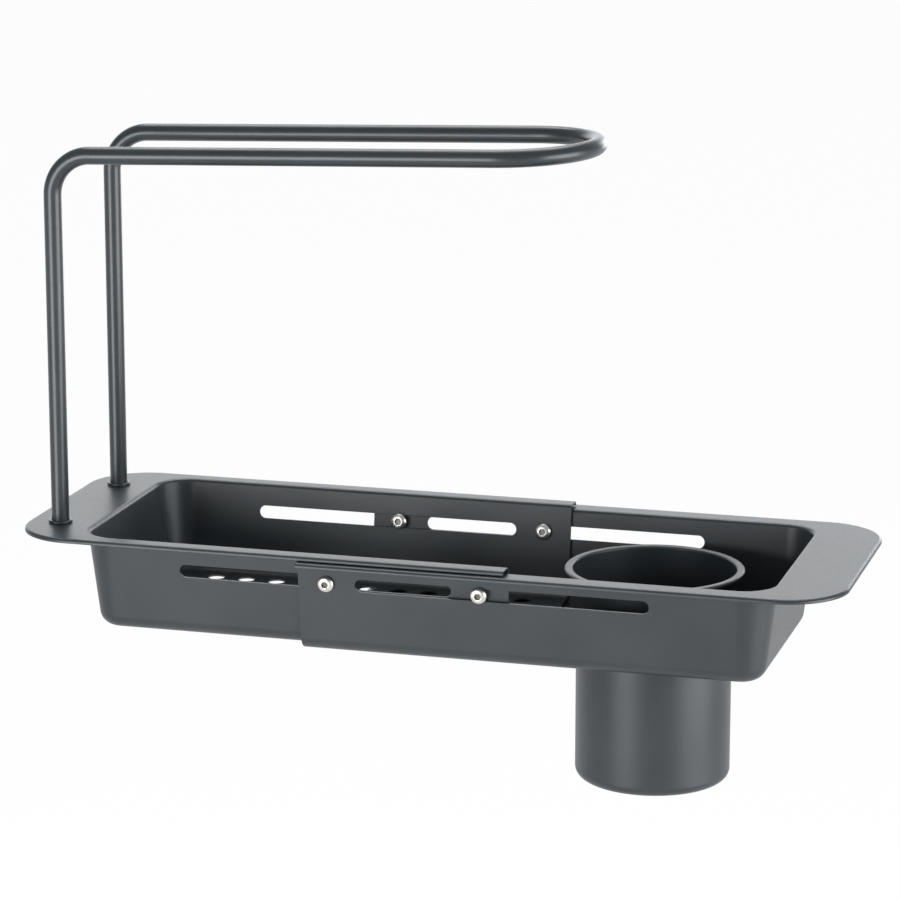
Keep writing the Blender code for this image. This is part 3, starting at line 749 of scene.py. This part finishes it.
# Foot screws and washers. A stainless button-head screw with a hexagon socket holds each foot from
# under the flange, over a plain stamped washer.
WASHER_BORE = 0.0018
WASHER_RADIUS = 0.0040
WASHER_HEIGHT = 0.0006
WASHER_EDGE = 0.00015
WASHER_Z = 0.0039
FOOT_SCREW_Z = 0.0030
FOOT_HEAD_RADIUS = 0.00285
FOOT_HEAD_HEIGHT = 0.0017
FOOT_SHANK_RADIUS = 0.0015
FOOT_SHANK_LENGTH = 0.0100
FOOT_SOCKET_RADIUS = 0.0011
FOOT_SOCKET_DEPTH = 0.0009
HEAD_FLAT_SHARE = 0.46
HEAD_EDGE_SHARE = 0.2
HEAD_STEPS = 10
HEAD_SOFT_EDGE = 0.00009
HEX_SIDES = 6
# How much painted shade the socket's floor and its walls take.
SOCKET_FLOOR_SHADE = 0.8
SOCKET_WALL_SHADE = 1.0
LEVEL_NORMAL = 0.8


def shank_profile(radius, length):
    """The corners of a plain shank, from the head down to the axis."""
    return [(radius, 0.0), (radius, -length), (0.0, -length)]


def button_screw(name, head_radius, head_height, profile, socket_radius, socket_depth, frame):
    """A button head over a turned lower part, with a hexagon socket sunk in the head."""
    shape = bmesh.new()
    flat = head_radius * HEAD_FLAT_SHARE
    edge = head_height * HEAD_EDGE_SHARE
    end = [shape.verts.new((0.0, 0.0, 0.0))]
    end = drawn(shape, end, (head_radius - flat, 0.0, 0.0))
    turned(shape, end, (0.0, 0.0, 0.0), (0.0, 1.0, 0.0), -quarter, HEAD_STEPS)
    arc = [vert for vert in shape.verts if vert.co.length > NOTHING]
    hub = [vert for vert in shape.verts if vert not in arc]
    bmesh.ops.delete(shape, geom=hub, context="VERTS")
    share = (head_height - edge) / (head_radius - flat)
    bmesh.ops.scale(shape, vec=(1.0, 1.0, share), verts=arc)
    bmesh.ops.translate(shape, vec=(flat, 0.0, edge), verts=arc)
    top = max(arc, key=lambda vert: vert.co.z)
    low = min(arc, key=lambda vert: vert.co.z)
    drawn(shape, [top], (-flat, 0.0, 0.0))
    end = drawn(shape, [low], (0.0, 0.0, -edge))
    here = end_point(end)
    for radius, z in profile:
        end = drawn(shape, end, (radius - here.x, 0.0, z - here.z))
        here = end_point(end)
    revolve(shape, ROUND_STEPS)
    piece = new_piece(name, shape)
    shape = bmesh.new()
    add_punch(
        shape, socket_radius / math.cos(math.pi / HEX_SIDES),
        Matrix.Translation((0.0, 0.0, head_height)), HEX_SIDES,
        low=-socket_depth, high=CUT_OVERRUN,
    )
    socket = new_piece(name + "_punch", shape)
    punch_out(piece, socket)
    soften(piece, HEAD_SOFT_EDGE)
    mesh = bake(piece)
    # Mark the socket's faces for painted shade, its floor a little less dark than its walls.
    painted_shade = mesh.attributes.new("painted_shade", "FLOAT", "FACE")
    for face in mesh.polygons:
        inside = face.center.xy.length < socket_radius + NOTHING
        if inside and 0.0 < face.center.z < head_height - NOTHING:
            depth = SOCKET_FLOOR_SHADE if face.normal.z > LEVEL_NORMAL else SOCKET_WALL_SHADE
            painted_shade.data[face.index].value = depth
    mesh.transform(frame)
    bpy.data.objects.remove(socket)
    return piece


over = Matrix.Rotation(math.pi, 4, "X")
shank = shank_profile(FOOT_SHANK_RADIUS, FOOT_SHANK_LENGTH)
for y, end_name in feet:
    seat = Matrix.Translation((0.0, y, WASHER_Z)) @ over
    ring = turned_ring(WASHER_BORE, WASHER_RADIUS, WASHER_HEIGHT, WASHER_EDGE, seat)
    washer = new_piece("foot_washer_" + end_name, ring)
    finished(washer, turned_steel, "fixed_half", "bar_washer_" + end_name)
    seat = Matrix.Translation((0.0, y, FOOT_SCREW_Z)) @ over
    screw = button_screw(
        "foot_screw_" + end_name, FOOT_HEAD_RADIUS, FOOT_HEAD_HEIGHT, shank,
        FOOT_SOCKET_RADIUS, FOOT_SOCKET_DEPTH, seat,
    )
    finished(screw, turned_steel, "fixed_half", "bar_screw_" + end_name)

# Guides. In each side wall of each half a stainless barrel nut passes through a hole in one sheet
# and the slot of the other, and a screw closes it from inside, so that the halves slide together.
HEAD_GLOSS = 0.30
HEAD_MARKS = 1500.0
GUIDE_HEAD_RADIUS = 0.00385
GUIDE_HEAD_HEIGHT = 0.0020
GUIDE_SHANK_RADIUS = 0.0015
GUIDE_SHANK_LENGTH = 0.0030
GUIDE_SOCKET_RADIUS = 0.0014
GUIDE_SOCKET_DEPTH = 0.0010
SLEEVE_RADIUS = 0.0025
SLEEVE_LENGTH = 0.0034
SLEEVE_BORE = 0.0018
SEAT_GAP = 0.0003

head_steel = steel_material("head_steel", HEAD_GLOSS, HEAD_MARKS, "X")
shank = shank_profile(GUIDE_SHANK_RADIUS, GUIDE_SHANK_LENGTH)
sleeve = [
    (SLEEVE_RADIUS, 0.0), (SLEEVE_RADIUS, -SLEEVE_LENGTH), (SLEEVE_BORE, -SLEEVE_LENGTH),
    (SLEEVE_BORE, -SEAT_GAP), (0.0, -SEAT_GAP),
]
guides = [
    ("left", "fixed_half", LEFT_OPEN_X - GUIDE_FROM_END),
    ("right", "sliding_half", RIGHT_OPEN_X + GUIDE_FROM_END),
]
for half, body, x in guides:
    for wall, end_name in ((-1, "front"), (1, "back")):
        through = guide_frame(x, wall, 0.0)
        outside = through @ Matrix.Translation((0.0, 0.0, WALL_STACK + SEAT_GAP))
        inside = through @ Matrix.Translation((0.0, 0.0, -2 * SEAT_GAP)) @ over
        for kind, profile, seat in (("barrel", sleeve, outside), ("screw", shank, inside)):
            fastener = button_screw(
                half + "_" + kind + "_" + end_name, GUIDE_HEAD_RADIUS, GUIDE_HEAD_HEIGHT,
                profile, GUIDE_SOCKET_RADIUS, GUIDE_SOCKET_DEPTH, seat,
            )
            stands_for = half + "_guide_" + kind + "_" + end_name
            finished(fastener, head_steel, body, stands_for)

# Rest pads. Black silicone strips stuck under the end flanges, so that the rack neither slips on
# the sink nor scratches it. The frame's own solids stay.
PAD_DARK = (0.012, 0.012, 0.013, 1.0)
PAD_LIGHT = (0.022, 0.022, 0.023, 1.0)
PAD_ROUGHNESS = 0.72
DUST_SIZE = 220.0
DUST_DETAIL = 4.0
DUST_SPREAD = (0.4, 0.7)
DUST_STRENGTH = 0.2
DUST_DEPTH = 0.0001

silicone, tree, shader, place = new_material("black_silicone")
shader["Roughness"].default_value = PAD_ROUGHNESS
dust = add_noise(tree, place, DUST_SIZE, DUST_DETAIL)
colour = add_ramp(tree, dust, DUST_SPREAD, PAD_DARK, PAD_LIGHT)
tree.links.new(colour, shader["Base Color"])
bump = add_bump(tree, dust, DUST_STRENGTH, DUST_DEPTH)
tree.links.new(bump.outputs["Normal"], shader["Normal"])
for name in ("left_rest_pad", "right_rest_pad"):
    pad = frame["nodes"][name]
    pad.data.materials.clear()
    pad.data.materials.append(silicone)
